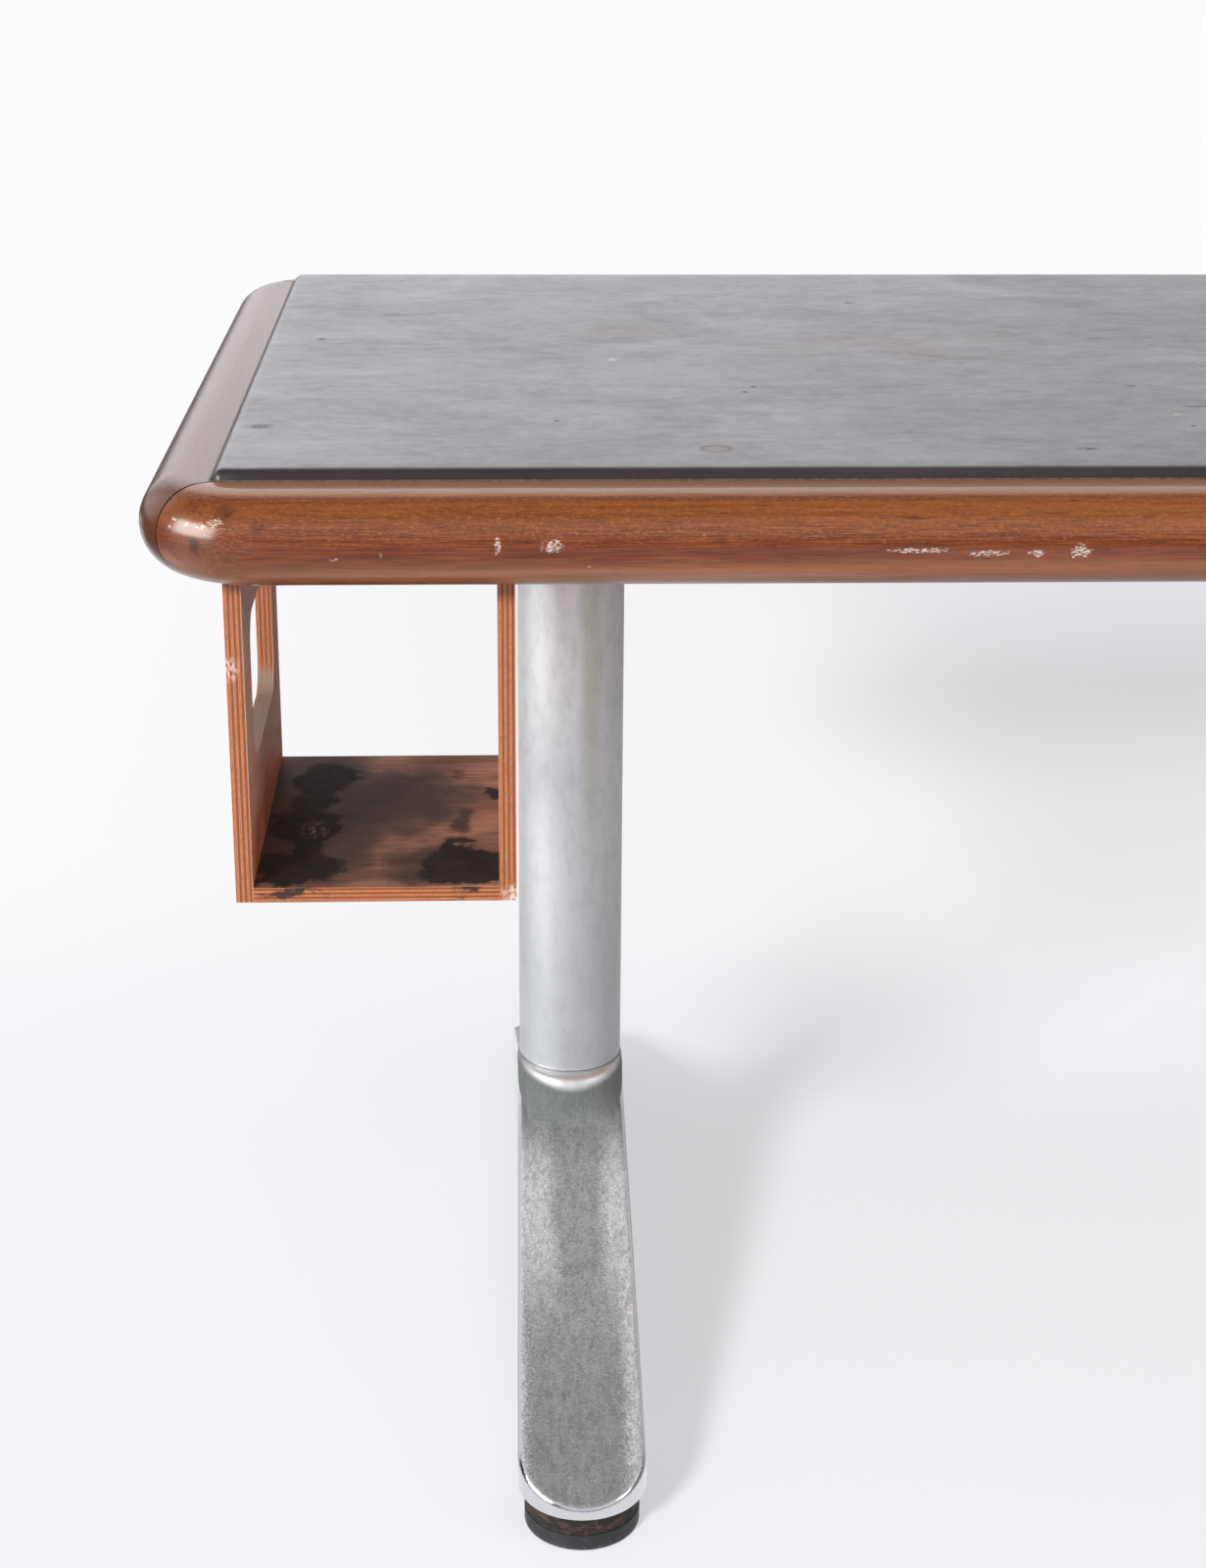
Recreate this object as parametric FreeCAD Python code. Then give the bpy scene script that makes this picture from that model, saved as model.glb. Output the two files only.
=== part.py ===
import FreeCAD, Part
import math
import os

# Office desk: a leather-covered writing board framed by bull-nosed hardwood rails, carried by
# two round columns on cast feet with levelling glides, and an open plywood carrier box under
# the left end. Millimetres, +Z up, front faces -Y, origin on the floor under the desk's middle.

# Overall size
desk_width = 1800.0
desk_depth = 800.0
desk_height = 755.0

# Hardwood edge rails
rail_thickness = 58.0
rail_face = 47.0
rail_ledge = 22.0
corner_radius = 76.0
nose_land = 0.4
mitre_gap = 0.5
mitre_angle = 28.0
groove_height = 12.0
groove_depth = 10.0
tongue_fit = 0.1
spline_thickness = 5.0
spline_width = 44.0
spline_length = 30.0
spline_offset = 4.0
spline_fit = 0.1

# Leather-covered writing board
board_thickness = 13.0
felt_thickness = 2.0
leather_thickness = 2.0
leather_proud = 7.0
leather_edge_radius = 7.0
leather_corner_radius = 7.0
leather_turn_under = 18.0
leather_gap = 0.6
cover_fit = 0.1

# Wood screws
screw_radius = 2.25
screw_head_radius = 4.5
screw_head_height = 2.6
screw_fit = 0.05
board_screw_pitch_x = 320.0
board_screw_columns = 4
board_screw_row = 250.0
board_screw_bite = 9.0
board_screw_pocket = 20.0
board_screw_pocket_radius = 6.0

# Columns and their top plates
column_inset = 272.0
column_radius = 40.0
column_wall = 3.0
plate_width = 150.0
plate_length = 190.0
plate_thickness = 6.0
plate_corner_radius = 15.0
plate_screw_inset = 16.0
plate_screw_length = 34.0
socket_height = 30.0
socket_wall = 4.0
socket_fit = 0.1
tie_rod_radius = 6.0
tie_boss_radius = 14.0
tie_boss_height = 24.0
tie_rod_fit = 0.05
tie_rod_end_gap = 2.0
tie_hole_clearance = 0.5
tie_nut_across_flats = 19.0
tie_nut_height = 10.0
tie_washer_radius = 14.0
tie_washer_thickness = 2.5
tie_rod_overhang = 4.0

# Cast feet
toe_radius = 45.0
toe_reach = 339.0
toe_tip_height = 37.5
foot_clearance = 27.0
foot_waist = 83.0
foot_edge_radius = 5.0
foot_lower_edge_radius = 3.0
neck_top = 197.0
neck_blend_radius = 30.0
neck_shoulder_radius = 10.0
neck_corner_land = 0.6
neck_bury = 1.5
neck_side_shy = 0.02
neck_sections = 7
shoulder_sections = 4
groove_at_column = 1.0
groove_depth_at_column = 4.0
collar_height = 1.5
collar_inset = 1.4
spigot_height = 46.0
spigot_lead = 3.0
foot_wall = 6.0
arch_rise = 16.0
toe_boss_length = 30.0
hub_radius = 21.0
hub_bottom = 84.0
foot_rib_thickness = 6.0
foot_rib_position = 165.0

# Levelling glides
glide_radius = 40.3
glide_pad_height = 12.5
glide_pad_edge_radius = 2.0
glide_cup_radius = 39.7
glide_cup_edge_radius = 1.5
glide_seat_gap = 0.3
glide_stem_radius = 5.0
glide_stem_reach = 18.0
glide_stem_root = 4.0
glide_stem_fit = 0.05
glide_hole_spare = 2.0

# Plywood carrier box under the left end
box_left_inset = 51.5
box_width = 177.0
box_front_inset = 44.0
box_depth = 245.0
box_height = 213.0
box_panel_thickness = 11.0
box_bottom_thickness = 10.0
window_front_margin = 45.0
window_rear_margin = 43.0
window_bottom_margin = 77.0
window_height = 97.0
window_corner_radius = 22.0
cleat_width = 20.0
cleat_height = 14.0
cleat_front_margin = 46.0
cleat_rear_margin = 20.0
cleat_screw_inset = 30.0
cleat_screw_side = 12.0
cleat_screw_drop = 7.0
cleat_panel_screw_length = 28.0
cleat_top_screw_length = 34.0
box_screw_front = 33.0
box_screw_rear = 49.0
box_screw_length = 36.0

# How far a cutting shape reaches past what it cuts, and how close two levels count as one
cut_spare = 1.0
same_level = 0.01

V = FreeCAD.Vector

# Levels and plan places that follow from the sizes above
wood_top = desk_height - leather_proud
top_underside = wood_top - rail_thickness
recess_depth = board_thickness + felt_thickness + 2 * leather_thickness - leather_proud
ledge_level = wood_top - recess_depth
rail_width = rail_face + rail_ledge
half_width = desk_width / 2
half_depth = desk_depth / 2
opening_half_x = half_width - rail_face
opening_half_y = half_depth - rail_face
column_offset = half_width - column_inset
plate_underside = top_underside - plate_thickness
collar_top = neck_top + groove_at_column + collar_height
socket_radius = column_radius - column_wall - socket_fit
neck_reach = column_radius + neck_shoulder_radius
box_left = -half_width + box_left_inset
box_right = box_left + box_width
box_front = -half_depth + box_front_inset
box_rear = box_front + box_depth
box_bottom = top_underside - box_height


def block(x0, x1, y0, y1, z0, z1):
    return Part.makeBox(x1 - x0, y1 - y0, z1 - z0, V(x0, y0, z0))


def cylinder(radius, z0, z1, x=0.0, y=0.0):
    return Part.makeCylinder(radius, z1 - z0, V(x, y, z0))


def line(start, end):
    return Part.LineSegment(start, end).toShape()


def arc(start, middle, end):
    return Part.Arc(start, middle, end).toShape()


def mirrored(point):
    return V(point.x, -point.y, point.z)


def rounded_rectangle(half_x, half_y, radius, z):
    """Closed outline of four straight sides and four quarter rounds, centred on the Z axis."""
    edges = []
    for quarter in range(4):
        turn = FreeCAD.Rotation(V(0, 0, 1), 90 * quarter)
        along, across = (half_x, half_y) if quarter % 2 == 0 else (half_y, half_x)
        corner = V(along - radius, radius - across, 0)
        diagonal = radius / math.sqrt(2)
        points = [
            V(radius - along, -across, 0),
            V(along - radius, -across, 0),
            corner + V(diagonal, -diagonal, 0),
            corner + V(radius, 0, 0),
        ]
        first, last, middle, end = [turn.multVec(point) + V(0, 0, z) for point in points]
        edges.append(line(first, last))
        edges.append(arc(last, middle, end))
    return Part.Wire(edges)


def rounded_prism(half_x, half_y, radius, z0, z1):
    return Part.Face(rounded_rectangle(half_x, half_y, radius, z0)).extrude(V(0, 0, z1 - z0))


def polygon_prism(corners, z0, z1):
    points = [V(x, y, z0) for x, y in corners]
    return Part.Face(Part.makePolygon(points + points[:1])).extrude(V(0, 0, z1 - z0))


def edges_at_height(shape, z):
    boxes = [(edge, edge.BoundBox) for edge in shape.Edges]
    return [edge for edge, box in boxes if max(abs(box.ZMin - z), abs(box.ZMax - z)) < same_level]


def wood_screw(length, clearance=0.0):
    """Countersunk screw along +Z with its head's flat face at the origin."""
    head = Part.makeCone(screw_head_radius + clearance, screw_radius + clearance, screw_head_height)
    return head.fuse(cylinder(screw_radius + clearance, 0, length + clearance)).removeSplitter()


def placed(shape, point, direction):
    moved = shape.copy()
    moved.Placement = FreeCAD.Placement(point, FreeCAD.Rotation(V(0, 0, 1), direction))
    return moved


def screw_group(places, length):
    return [placed(wood_screw(length), point, direction) for point, direction in places]


def drilled(shape, places, length):
    hole = wood_screw(length, screw_fit)
    return shape.cut([placed(hole, point, direction) for point, direction in places])


def export(name, shape):
    solids = shape if isinstance(shape, list) else [shape]
    result = solids[0] if len(solids) == 1 else Part.makeCompound(solids)
    result.exportStep("parts/" + name + ".step")


# Rails: one bull-nosed frame, rebated for the writing board, then mitred into four

def rail_frame():
    slab = rounded_prism(half_width, half_depth, corner_radius, top_underside, wood_top)
    rims = edges_at_height(slab, top_underside) + edges_at_height(slab, wood_top)
    slab = slab.makeFillet((rail_thickness - nose_land) / 2, rims)
    opening = rounded_prism(opening_half_x, opening_half_y, leather_corner_radius, ledge_level, desk_height)
    inner_x = half_width - rail_width
    inner_y = half_depth - rail_width
    inside = block(-inner_x, inner_x, -inner_y, inner_y, top_underside - cut_spare, desk_height)
    groove = core_tongue(0.0)
    slots = [spline(side_x, side_y, spline_fit) for side_x, side_y in corners()]
    return slab.cut([opening, inside, groove] + slots)


def core_tongue(fit):
    reach_x = half_width - rail_width + groove_depth - fit
    reach_y = half_depth - rail_width + groove_depth - fit
    middle = (top_underside + ledge_level) / 2
    half = groove_height / 2 - fit
    return block(-reach_x, reach_x, -reach_y, reach_y, middle - half, middle + half)


def corners():
    return [(side_x, side_y) for side_x in (-1, 1) for side_y in (-1, 1)]


def spline(side_x, side_y, fit):
    """Loose tongue lying flat across one mitre."""
    middle = (top_underside + wood_top) / 2
    half_across = spline_width / 2 + fit
    half_along = spline_length / 2 + fit
    half_thick = spline_thickness / 2 + fit
    tongue = block(-half_along, half_along, -half_across, half_across, -half_thick, half_thick)
    angle = math.radians(mitre_angle)
    out_x = opening_half_x + spline_offset * math.cos(angle)
    out_y = opening_half_y + spline_offset * math.sin(angle)
    turn = FreeCAD.Rotation(V(0, 0, 1), mitre_angle * side_x * side_y)
    tongue.Placement = FreeCAD.Placement(V(side_x * out_x, side_y * out_y, middle), turn)
    return tongue


def mitred_rail(frame, along_half, across_half, spread, turn):
    """Part of the frame between two mitres, carried from the front to its side by the turn. Each mitre
    runs out from the opening's corner at the given spread, and in under the board on the diagonal."""
    reach = rail_width + cut_spare
    corner = along_half - rail_face - mitre_gap / 2 * math.hypot(1, spread)
    outer = corner + (rail_face + cut_spare) * spread
    inner = corner - reach + rail_face
    wedge = polygon_prism(
        [
            (-outer, -across_half - cut_spare),
            (outer, -across_half - cut_spare),
            (corner, -across_half + rail_face),
            (inner, -across_half + reach),
            (-inner, -across_half + reach),
            (-corner, -across_half + rail_face),
        ],
        top_underside - cut_spare,
        desk_height,
    )
    wedge.rotate(V(0, 0, 0), V(0, 0, 1), turn)
    return frame.common(wedge)


def core_board():
    fit_x = half_width - rail_width - tongue_fit
    fit_y = half_depth - rail_width - tongue_fit
    slab = block(-fit_x, fit_x, -fit_y, fit_y, top_underside, ledge_level)
    core = slab.fuse(core_tongue(tongue_fit)).removeSplitter()
    for point, direction in board_screw_places():
        core = core.cut(cylinder(board_screw_pocket_radius, top_underside, point.z, point.x, point.y))
    return drilled(core, board_screw_places(), board_screw_length())


# Writing board: leather drawn over felt and a plywood board, and turned under its edge

def covered_block(inset, bottom, top, edge_radius, corner):
    half_x = opening_half_x - leather_gap - inset
    half_y = opening_half_y - leather_gap - inset
    body = rounded_prism(half_x, half_y, corner, bottom, top)
    return body.makeFillet(edge_radius, edges_at_height(body, top))


def leather_cover():
    skin = covered_block(0.0, ledge_level, desk_height, leather_edge_radius, leather_corner_radius)
    hollow = covered_block(
        leather_thickness,
        ledge_level + leather_thickness,
        desk_height - leather_thickness,
        leather_edge_radius - leather_thickness,
        leather_corner_radius - leather_thickness,
    )
    hem_x = opening_half_x - leather_gap - leather_turn_under
    hem_y = opening_half_y - leather_gap - leather_turn_under
    mouth = block(-hem_x, hem_x, -hem_y, hem_y, ledge_level, ledge_level + leather_thickness)
    return skin.cut([hollow, mouth])


def board_and_felt():
    filling = covered_block(
        leather_thickness + cover_fit,
        ledge_level + leather_thickness,
        desk_height - leather_thickness,
        leather_edge_radius - leather_thickness,
        leather_corner_radius - leather_thickness,
    )
    seam = ledge_level + leather_thickness + board_thickness
    above = block(-half_width, half_width, -half_depth, half_depth, seam, desk_height)
    board = drilled(filling.cut(above), board_screw_places(), board_screw_length())
    return board, filling.common(above)


def board_screw_length():
    return ledge_level + leather_thickness + board_screw_bite - top_underside - board_screw_pocket


def board_screw_places():
    first = -board_screw_pitch_x * (board_screw_columns - 1) / 2
    level = top_underside + board_screw_pocket
    return [
        (V(first + column * board_screw_pitch_x, side * board_screw_row, level), V(0, 0, 1))
        for column in range(board_screw_columns)
        for side in (-1, 1)
    ]


# Legs: modelled about the Z axis, then carried to each end of the desk

def top_plate():
    half_x, half_y = plate_width / 2, plate_length / 2
    plate = rounded_prism(half_x, half_y, plate_corner_radius, plate_underside, top_underside)
    socket_end = plate_underside - socket_height
    ring = cylinder(socket_radius, socket_end, plate_underside)
    ring = ring.cut(cylinder(socket_radius - socket_wall, socket_end, plate_underside))
    boss_end = plate_underside - tie_boss_height
    boss = cylinder(tie_boss_radius, boss_end, plate_underside)
    body = plate.fuse([ring, boss]).removeSplitter()
    bore = cylinder(tie_rod_radius + tie_rod_fit, boss_end, top_underside - tie_rod_end_gap)
    return drilled(body.cut(bore), plate_screw_places(), plate_screw_length)


def plate_screw_places():
    reach_x = plate_width / 2 - plate_screw_inset
    reach_y = plate_length / 2 - plate_screw_inset
    return [
        (V(side * reach_x, row * reach_y, plate_underside), V(0, 0, 1))
        for side in (-1, 1)
        for row in (-1, 0, 1)
    ]


def column():
    tube = cylinder(column_radius, collar_top, plate_underside)
    return tube.cut(cylinder(column_radius - column_wall, collar_top, plate_underside))


def arm_slope():
    """Rise over run of the arm's flat top, which meets the neck's hollow blend on a tangent."""
    rise = neck_top - neck_shoulder_radius - toe_tip_height
    run = toe_reach + toe_radius - neck_reach - neck_blend_radius
    radius = neck_blend_radius
    spread = run * run - radius * radius
    root = math.sqrt((rise * run) ** 2 - spread * (rise * rise - radius * radius))
    return (rise * run - root) / spread


def arm_height(distance):
    """Height of the arm's flat top at a distance from the column's axis."""
    return toe_tip_height + arm_slope() * (toe_reach + toe_radius - distance)


def foot_plan():
    """Plan of the foot, drawn up: round toes joined by sides that taper in to the neck."""
    waist = foot_waist / 2
    bearing = math.atan2(toe_reach, waist) - math.acos(toe_radius / math.hypot(waist, toe_reach))
    tangent = V(toe_radius * math.cos(bearing), toe_radius * math.sin(bearing) - toe_reach, 0)
    other = V(-tangent.x, tangent.y, 0)
    tip = V(0, -toe_reach - toe_radius, 0)
    right, left = V(waist, 0, 0), V(-waist, 0, 0)
    outline = [
        arc(other, tip, tangent),
        line(tangent, right),
        line(right, mirrored(tangent)),
        arc(mirrored(tangent), mirrored(tip), mirrored(other)),
        line(mirrored(other), left),
        line(left, other),
    ]
    return Part.Face(Part.Wire(outline)).extrude(V(0, 0, desk_height))


def front_arm():
    """Sloping arm from the column's axis to the round toe, with a narrow rounded upper edge."""
    reach = toe_reach + toe_radius + cut_spare
    half = toe_radius + cut_spare
    side = [
        V(-half, 0, foot_clearance),
        V(-half, -reach, foot_clearance),
        V(-half, -reach, arm_height(reach)),
        V(-half, 0, arm_height(0)),
    ]
    wedge = Part.Face(Part.makePolygon(side + side[:1])).extrude(V(2 * half, 0, 0))
    arm = wedge.common(foot_plan()).removeSplitter()
    raised = [edge for edge in arm.Edges if edge.BoundBox.ZMin > foot_clearance + cut_spare]
    arm = arm.makeFillet(foot_edge_radius, [edge for edge in raised if runs_outward(edge)])
    lower = [edge for edge in edges_at_height(arm, foot_clearance) if runs_outward(edge)]
    return arm.makeFillet(foot_lower_edge_radius, lower)


def runs_outward(edge):
    return edge.BoundBox.YLength > cut_spare


def neck():
    """Neck that swells from the round tube in a shoulder, then sweeps out in a hollow onto the arms."""
    base = neck_top - neck_shoulder_radius
    centre = neck_reach + neck_blend_radius
    lowest = math.pi / 2 - math.atan(arm_slope())
    waist = foot_waist / 2
    sections = []
    for step in range(neck_sections):
        angle = lowest * (1 - step / neck_sections)
        half_y = centre - neck_blend_radius * math.cos(angle) - neck_bury * math.sin(angle)
        flare = (toe_radius - waist) * half_y / toe_reach * math.sin(angle) ** 2
        height = base - neck_blend_radius * math.sin(angle)
        sections.append(neck_section(waist + flare, half_y, math.cos(angle) ** 2, height))
    for step in range(shoulder_sections + 1):
        angle = math.pi / 2 * step / shoulder_sections
        half_x = column_radius + (waist - column_radius) * math.cos(angle)
        half_y = column_radius + neck_shoulder_radius * math.cos(angle)
        sections.append(neck_section(half_x, half_y, 1.0, base + neck_shoulder_radius * math.sin(angle)))
    return Part.makeLoft(sections, True, False)


def neck_section(half_x, half_y, roundness, height):
    """Level outline of the neck, from square-cornered at 0 to fully round at 1."""
    sharp = foot_edge_radius
    full = half_x - neck_corner_land
    return rounded_rectangle(half_x - neck_side_shy, half_y, sharp + (full - sharp) * roundness, height)


def neck_cap():
    """Shadow groove, collar under the tube's end and spigot inside it, turned about the column's axis."""
    base = neck_top - neck_shoulder_radius
    inner = column_radius - groove_depth_at_column
    collar = column_radius - collar_inset
    groove_top = neck_top + groove_at_column
    spigot_top = collar_top + spigot_height
    profile = [
        (0, base),
        (inner, base),
        (inner, groove_top),
        (collar, groove_top),
        (collar, collar_top),
        (socket_radius, collar_top),
        (socket_radius, spigot_top - spigot_lead),
        (socket_radius - spigot_lead, spigot_top),
        (0, spigot_top),
    ]
    points = [V(radius, 0, height) for radius, height in profile]
    return Part.Face(Part.makePolygon(points + points[:1])).revolve(V(0, 0, 0), V(0, 0, 1), 360)


def foot_hollow():
    """Room under the arms, left open below, with the hub and two cross ribs standing in it."""
    end = toe_reach - toe_boss_length
    root = neck_reach + neck_blend_radius
    drop = foot_wall * math.hypot(1, arm_slope())
    half = foot_waist / 2 - foot_wall
    side = [
        V(-half, -end, foot_clearance - cut_spare),
        V(-half, -end, arm_height(end) - drop),
        V(-half, -root, arm_height(root) - drop),
    ]
    side += [mirrored(point) for point in reversed(side)]
    room = Part.Face(Part.makePolygon(side + side[:1])).extrude(V(2 * half, 0, 0))
    hub = cylinder(hub_radius, hub_bottom, neck_top)
    half_rib = foot_rib_thickness / 2
    ribs = [
        block(-half, half, place - half_rib, place + half_rib, foot_clearance + arch_rise, neck_top)
        for place in (-foot_rib_position, foot_rib_position)
    ]
    return room.cut([hub] + ribs)


def foot_arch():
    """Shallow arch that lifts the lower edge of both side walls between the toes."""
    end = toe_reach - toe_boss_length
    half = toe_radius + cut_spare
    level = foot_clearance - cut_spare
    start = V(-half, -end, foot_clearance)
    crown = V(-half, 0, foot_clearance + arch_rise)
    below = V(-half, -end, level)
    outline = [
        arc(start, crown, mirrored(start)),
        line(mirrored(start), mirrored(below)),
        line(mirrored(below), below),
        line(below, start),
    ]
    return Part.Face(Part.Wire(outline)).extrude(V(2 * half, 0, 0))


def foot():
    front = front_arm()
    rear = front.mirror(V(0, 0, 0), V(0, 1, 0))
    body = front.fuse([rear, neck(), neck_cap()]).removeSplitter()
    spigot_top = collar_top + spigot_height
    bores = [cylinder(tie_rod_radius + tie_hole_clearance, foot_clearance, spigot_top)]
    for end in (-toe_reach, toe_reach):
        roof = foot_clearance + glide_stem_reach + glide_hole_spare
        bores.append(cylinder(glide_stem_radius + glide_stem_fit, foot_clearance, roof, 0, end))
    return body.cut([foot_hollow(), foot_arch()] + bores)


def tie_nut_top():
    return hub_bottom - tie_washer_thickness


def tie_rod():
    bottom = tie_nut_top() - tie_nut_height - tie_rod_overhang
    return cylinder(tie_rod_radius, bottom, top_underside - tie_rod_end_gap)


def tie_washer():
    washer = cylinder(tie_washer_radius, tie_nut_top(), hub_bottom)
    return washer.cut(cylinder(tie_rod_radius + tie_hole_clearance, tie_nut_top(), hub_bottom))


def tie_nut():
    radius = tie_nut_across_flats / math.sqrt(3)
    turns = [math.radians(60 * corner) for corner in range(6)]
    hexagon = [(radius * math.cos(turn), radius * math.sin(turn)) for turn in turns]
    bottom = tie_nut_top() - tie_nut_height
    nut = polygon_prism(hexagon, bottom, tie_nut_top())
    return nut.cut(cylinder(tie_rod_radius + tie_rod_fit, bottom, tie_nut_top()))


# Glides: rubber pad, pressed cup and threaded stem, modelled about the Z axis

def glide_pad():
    pad = cylinder(glide_radius, 0, glide_pad_height)
    return pad.makeFillet(glide_pad_edge_radius, edges_at_height(pad, 0))


def glide_cup():
    top = foot_clearance - glide_seat_gap
    cup = cylinder(glide_cup_radius, glide_pad_height, top)
    cup = cup.makeFillet(glide_cup_edge_radius, edges_at_height(cup, top))
    return cup.cut(cylinder(glide_stem_radius + glide_stem_fit, top - glide_stem_root, top))


def glide_stem():
    root = foot_clearance - glide_seat_gap - glide_stem_root
    return cylinder(glide_stem_radius, root, foot_clearance + glide_stem_reach)


# Carrier box

def window(x0, x1):
    half_y = (box_depth - window_front_margin - window_rear_margin) / 2
    hole = rounded_prism(half_y, window_height / 2, window_corner_radius, 0, x1 - x0)
    middle_y = box_front + window_front_margin + half_y
    middle_z = box_bottom + window_bottom_margin + window_height / 2
    hole.Placement = FreeCAD.Placement(V(x0, middle_y, middle_z), FreeCAD.Rotation(V(1, 1, 1), 120))
    return hole


def box_panel(x0):
    x1 = x0 + box_panel_thickness
    panel = block(x0, x1, box_front, box_rear, box_bottom, top_underside)
    return panel.cut(window(x0, x1))


def box_cleat(x0):
    y0, y1 = cleat_span()
    return block(x0, x0 + cleat_width, y0, y1, top_underside - cleat_height, top_underside)


def cleat_span():
    return box_front + cleat_front_margin, box_rear - cleat_rear_margin


def inner_faces():
    return box_left + box_panel_thickness, box_right - box_panel_thickness


def box_bottom_screw_places():
    level = box_bottom + box_bottom_thickness / 2
    rows = (box_front + box_screw_front, box_rear - box_screw_rear)
    ends = ((box_left, V(1, 0, 0)), (box_right, V(-1, 0, 0)))
    return [(V(x, y, level), inward) for x, inward in ends for y in rows]


def cleat_panel_screw_places():
    left, right = inner_faces()
    level = top_underside - cleat_screw_drop
    y0, y1 = cleat_span()
    ends = ((left + cleat_width, V(-1, 0, 0)), (right - cleat_width, V(1, 0, 0)))
    rows = (y0 + cleat_screw_inset, y1 - cleat_screw_inset)
    return [(V(x, y, level), outward) for x, outward in ends for y in rows]


def cleat_top_screw_places():
    left, right = inner_faces()
    middle = sum(cleat_span()) / 2
    level = top_underside - cleat_height
    spread = cleat_screw_inset
    return [
        (V(x, middle + side * spread, level), V(0, 0, 1))
        for x in (left + cleat_screw_side, right - cleat_screw_side)
        for side in (-1, 1)
    ]


os.makedirs("parts", exist_ok=True)

frame = rail_frame()
core = core_board()
leg_ends = (("left", -column_offset), ("right", column_offset))
for end, x in leg_ends:
    places = [(point + V(x, 0, 0), way) for point, way in plate_screw_places()]
    core = drilled(core, places, plate_screw_length)
core = drilled(core, cleat_top_screw_places(), cleat_top_screw_length)

side_spread = math.tan(math.radians(mitre_angle))
for name, along, across, spread, turn in (
    ("front_rail", half_width, half_depth, 1 / side_spread, 0),
    ("right_rail", half_depth, half_width, side_spread, 90),
    ("rear_rail", half_width, half_depth, 1 / side_spread, 180),
    ("left_rail", half_depth, half_width, side_spread, 270),
):
    export(name, mitred_rail(frame, along, across, spread, turn))
export("mitre_splines", [spline(side_x, side_y, 0.0) for side_x, side_y in corners()])
export("core_board", core)
board, felt = board_and_felt()
export("writing_board", board)
export("felt_underlay", felt)
export("leather_cover", leather_cover())
export("board_screws", screw_group(board_screw_places(), board_screw_length()))

leg_pieces = {
    "top_plate": [top_plate()],
    "plate_screws": screw_group(plate_screw_places(), plate_screw_length),
    "column": [column()],
    "foot": [foot()],
    "tie_rod": [tie_rod()],
    "tie_washer": [tie_washer()],
    "tie_nut": [tie_nut()],
}
for end, x in leg_ends:
    for piece, solids in leg_pieces.items():
        export(end + "_" + piece, [solid.translated(V(x, 0, 0)) for solid in solids])

glide_pieces = {"pad": glide_pad(), "cup": glide_cup(), "stem": glide_stem()}
for row, y in (("front", -toe_reach), ("rear", toe_reach)):
    for end, x in leg_ends:
        for piece, solid in glide_pieces.items():
            export(row + "_" + end + "_glide_" + piece, solid.translated(V(x, y, 0)))

inner_left, inner_right = inner_faces()
for name, x in (("box_left_panel", box_left), ("box_right_panel", inner_right)):
    panel = drilled(box_panel(x), box_bottom_screw_places(), box_screw_length)
    export(name, drilled(panel, cleat_panel_screw_places(), cleat_panel_screw_length))
for name, x in (("box_left_cleat", inner_left), ("box_right_cleat", inner_right - cleat_width)):
    cleat = drilled(box_cleat(x), cleat_panel_screw_places(), cleat_panel_screw_length)
    export(name, drilled(cleat, cleat_top_screw_places(), cleat_top_screw_length))
box_floor = box_bottom + box_bottom_thickness
bottom_board = block(inner_left, inner_right, box_front, box_rear, box_bottom, box_floor)
export("box_bottom_board", drilled(bottom_board, box_bottom_screw_places(), box_screw_length))
export("box_bottom_screws", screw_group(box_bottom_screw_places(), box_screw_length))
export("box_cleat_screws", screw_group(cleat_panel_screw_places(), cleat_panel_screw_length))
export("box_hanging_screws", screw_group(cleat_top_screw_places(), cleat_top_screw_length))
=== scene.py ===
import math

import bpy
from mathutils import Matrix, Vector


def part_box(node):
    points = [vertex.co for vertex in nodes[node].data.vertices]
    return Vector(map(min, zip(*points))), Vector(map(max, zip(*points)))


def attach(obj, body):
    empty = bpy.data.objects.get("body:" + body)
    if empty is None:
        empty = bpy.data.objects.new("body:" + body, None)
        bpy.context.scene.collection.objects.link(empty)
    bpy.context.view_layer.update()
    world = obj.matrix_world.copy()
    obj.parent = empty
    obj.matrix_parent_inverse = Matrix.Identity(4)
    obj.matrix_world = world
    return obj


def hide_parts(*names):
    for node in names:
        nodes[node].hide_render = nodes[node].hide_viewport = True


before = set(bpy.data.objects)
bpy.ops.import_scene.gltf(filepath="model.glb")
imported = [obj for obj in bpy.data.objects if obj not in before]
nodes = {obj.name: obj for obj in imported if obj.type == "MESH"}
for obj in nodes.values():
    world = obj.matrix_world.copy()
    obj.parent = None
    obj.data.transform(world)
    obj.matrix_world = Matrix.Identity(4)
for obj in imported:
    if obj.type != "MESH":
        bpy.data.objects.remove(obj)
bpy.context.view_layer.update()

# Camera that saw the left end of the desk, in the desk's own frame
camera_place = Vector((-0.6798, -1.8999, 1.1283))
camera_pitch = math.radians(20.352)
camera_yaw = math.radians(2.316)
camera_roll = math.radians(-0.393)
camera_lens_mm = 60.62
camera_sensor_mm = 36.0

# Places read from the solids
leather_low, leather_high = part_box("leather_cover")
rail_low, rail_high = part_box("front_rail")
column_low, column_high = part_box("left_column")
wood_top = rail_high.z
nose_middle = (rail_low.z + rail_high.z) / 2
column_x = (column_low.x + column_high.x) / 2

# Dark lines on the rails: the mitres' angle to the front edge, and how far from its middle a line
# begins and is full
mitre_angle = math.radians(28)
mitre_line_start = 0.0013
mitre_line_full = 0.0006
leather_line_start = 0.0030
leather_line_full = 0.0010

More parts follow.
